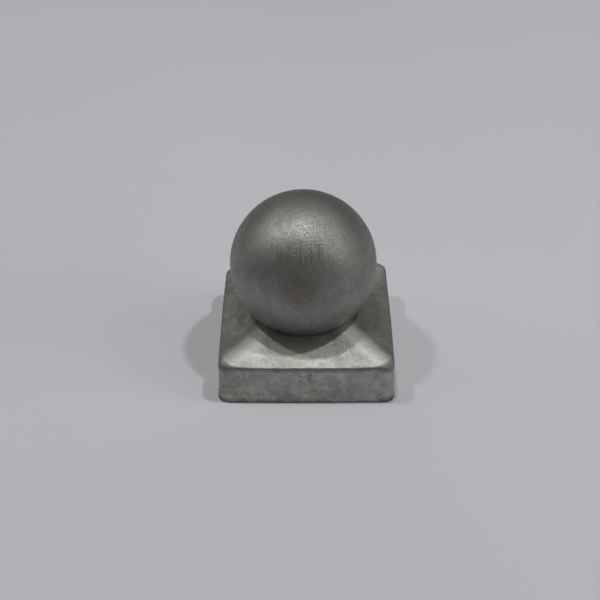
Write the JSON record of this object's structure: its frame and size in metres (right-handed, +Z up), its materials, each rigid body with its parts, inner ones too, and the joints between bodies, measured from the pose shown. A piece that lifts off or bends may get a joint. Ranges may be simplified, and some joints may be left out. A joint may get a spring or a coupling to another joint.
{
  "type": "ball post cap",
  "caption": "Square galvanised steel post cap with a low hipped crown and a large round ball set in it; hollow below to slip over a square post.",
  "frame": {"origin": "centre of the cap's open mouth, in the plane of its level lower edge", "axes": "+Z up through the ball; +X and +Y square to two sides of the cap, with -Y the side nearest in the picture"},
  "size_m": [0.085, 0.085, 0.0868],
  "materials": {
    "cap_zinc": "hot-dip galvanised, dull grey with soft mottling",
    "ball_zinc": "hot-dip galvanised, satin grey with fine grain and scuffs"
  },
  "bodies": {
    "root": {"square_cap": "cap_zinc", "ball": "ball_zinc"}
  },
  "joints": []
}
